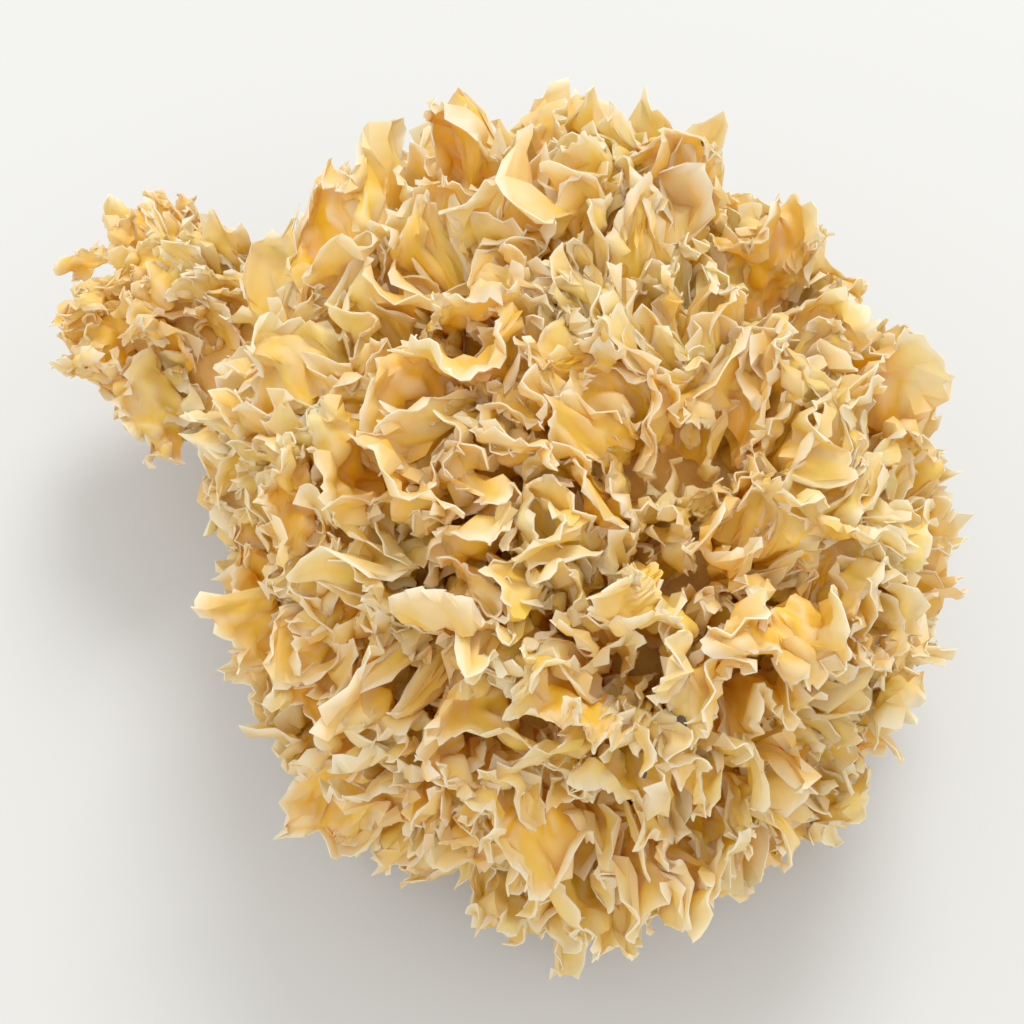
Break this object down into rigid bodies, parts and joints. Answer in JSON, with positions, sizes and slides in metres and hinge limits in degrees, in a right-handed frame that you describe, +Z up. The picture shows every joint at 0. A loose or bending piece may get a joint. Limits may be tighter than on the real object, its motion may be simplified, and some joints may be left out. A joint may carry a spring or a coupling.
{
  "type": "snow fungus",
  "caption": "Dried head of snow fungus: thin ruffled translucent fronds round a solid heart, with a smaller side lobe, resting on its cut foot.",
  "frame": {"origin": "middle of the flat underside of the foot, on the surface that the head rests on", "axes": "+Z up; +X away from the side lobe; -Y towards the side seen in front"},
  "size_m": [0.1216, 0.112, 0.08],
  "materials": {
    "dried_tissue": "thin dry translucent tissue like parchment, pale cream at the margins and amber in the folds"
  },
  "bodies": {
    "root": {"fruit_body": "dried_tissue"}
  },
  "joints": []
}
